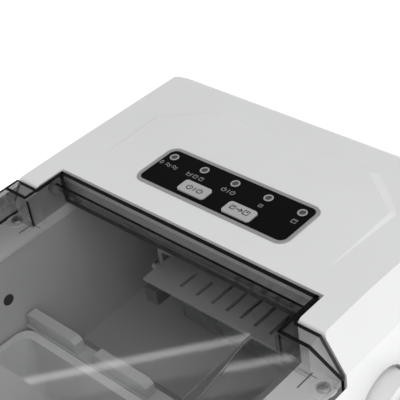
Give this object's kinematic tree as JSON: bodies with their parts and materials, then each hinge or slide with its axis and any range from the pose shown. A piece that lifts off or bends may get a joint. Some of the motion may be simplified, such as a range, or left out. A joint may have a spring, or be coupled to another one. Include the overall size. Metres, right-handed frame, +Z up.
{
  "type": "countertop ice maker",
  "caption": "Portable countertop ice maker with a smoked hinged lid over its ice chamber, a rear control panel and a swinging carry handle.",
  "frame": {"origin": "on the floor under the middle of the whole outline, with the handle folded down behind", "axes": "+Z up, +Y towards the back, +X to the right of someone facing the front"},
  "size_m": [0.248, 0.3182, 0.301],
  "materials": {
    "white_shell": "satin moulded white plastic",
    "white_liner": "smooth white food-grade plastic",
    "base_grey": "fine grained",
    "black_rubber": "matt rubber",
    "steel_hardware": "plated steel",
    "grey_plastic": "matt",
    "bezel_silver": "satin silver paint",
    "overlay_black": "printed film, satin black",
    "button_grey": "satin light grey",
    "ring_grey": "printed grey",
    "lens_smoke": "dark clear lens",
    "board_green": "solder mask",
    "part_black": "moulded black",
    "led_clear": "clear epoxy",
    "smoked_lid": "smoked clear plastic, polished",
    "handle_white": "satin moulded white plastic",
    "foam_cream": "rigid foam",
    "basket_grey": "smooth pale grey plastic",
    "bright_metal": "nickel plated",
    "copper": "drawn copper tube",
    "tray_clear": "pale plastic",
    "shovel_grey": "smooth grey plastic",
    "impeller_white": "moulded",
    "hose_silicone": "milky silicone",
    "compressor_black": "semi-gloss black enamel",
    "motor_core": "bare iron and windings",
    "zinc_steel": "zinc plated",
    "fin_aluminium": "bare fin stock",
    "valve_blue": "moulded coil"
  },
  "bodies": {
    "housing": {"rubber_feet": "black_rubber", "base_pan": "base_grey", "front_panel": "white_shell", "left_side_panel": "white_shell", "right_side_panel": "white_shell", "rear_panel": "white_shell", "housing_screws": "steel_hardware", "cord_gland": "black_rubber", "drain_spout": "grey_plastic", "top_cover": "white_shell", "panel_bezel": "bezel_silver", "panel_overlay": "overlay_black", "indicator_rings": "ring_grey", "indicator_lenses": "lens_smoke", "control_board": "board_green", "tact_switches": "part_black", "status_leds": "led_clear", "board_splash_cover": "white_shell", "lid_hinge_pins": "steel_hardware", "handle_pivot_pins": "steel_hardware", "inner_liner": "white_liner", "foam_insulation": "foam_cream", "ir_emitter": "part_black", "ir_receiver": "part_black", "evaporator_plate": "bright_metal", "evaporator_fingers": "bright_metal", "evaporator_tube": "copper", "tray_gearmotor": "grey_plastic", "tray_limit_switch": "part_black", "pump_body": "part_black", "inlet_strainer": "grey_plastic", "water_hose": "hose_silicone", "compressor_shell": "compressor_black", "compressor_motor": "motor_core", "compressor_base": "zinc_steel", "compressor_grommets": "black_rubber", "compressor_bolts": "steel_hardware", "starter_box": "part_black", "condenser_fins": "fin_aluminium", "condenser_frame": "zinc_steel", "condenser_tube": "copper", "fan_shroud": "part_black", "fan_motor": "zinc_steel", "filter_drier": "copper", "capillary_tube": "copper", "hot_gas_valve": "valve_blue", "refrigerant_pipes": "copper", "power_board": "board_green", "wiring_loom": "part_black"},
    "lid": {"lid": "smoked_lid"},
    "handle": {"carry_handle": "handle_white"},
    "basket": {"ice_basket": "basket_grey"},
    "on_off_key": {"on_off_button": "button_grey"},
    "select_key": {"select_button": "button_grey"},
    "tray": {"water_tray": "tray_clear", "tray_shaft": "steel_hardware"},
    "shovel": {"ice_shovel": "shovel_grey"},
    "impeller": {"pump_impeller": "impeller_white"},
    "fan": {"fan_rotor": "part_black"},
    "plug": {"drain_plug": "black_rubber"}
  },
  "joints": [
    {"name": "lid_hinge", "type": "hinge", "parent": "housing", "child": "lid", "pos_m": [0, 0.01489, 0.294], "axis": [-1, 0, 0], "range_deg": [0, 95]},
    {"name": "handle_swing", "type": "hinge", "parent": "housing", "child": "handle", "pos_m": [0, 0.03039, 0.2433], "axis": [1, 0, 0], "range_deg": [0, 105]},
    {"name": "basket_lift", "type": "slide", "parent": "housing", "child": "basket", "axis": [0, 0, 1], "range_m": [0, 0.035]},
    {"name": "on_off_press", "type": "slide", "parent": "housing", "child": "on_off_key", "axis": [0, 0, -1], "range_m": [0, 0.0006], "stiffness_N_per_m": 1500, "springref_m": -0.0005},
    {"name": "select_press", "type": "slide", "parent": "housing", "child": "select_key", "axis": [0, 0, -1], "range_m": [0, 0.0006], "stiffness_N_per_m": 1500, "springref_m": -0.0005},
    {"name": "tray_tilt", "type": "hinge", "parent": "housing", "child": "tray", "pos_m": [0, 0.04089, 0.24], "axis": [-1, 0, 0], "range_deg": [0, 70]},
    {"name": "shovel_swing", "type": "hinge", "parent": "housing", "child": "shovel", "pos_m": [0, 0.04089, 0.24], "axis": [1, 0, 0], "range_deg": [0, 35]},
    {"name": "pump_spin", "type": "hinge", "parent": "housing", "child": "impeller", "pos_m": [0.04, -0.06911, 0.04], "axis": [0, 0, 1], "continuous": true},
    {"name": "fan_spin", "type": "hinge", "parent": "housing", "child": "fan", "pos_m": [0.053, 0.07089, 0.076], "axis": [1, 0, 0], "continuous": true},
    {"name": "plug_pull", "type": "slide", "parent": "housing", "child": "plug", "axis": [0, -1, 0], "range_m": [0, 0.02]}
  ],
  "couplings": [
    {"joint": "shovel_swing", "follows": "tray_tilt", "ratio": 0.5}
  ]
}
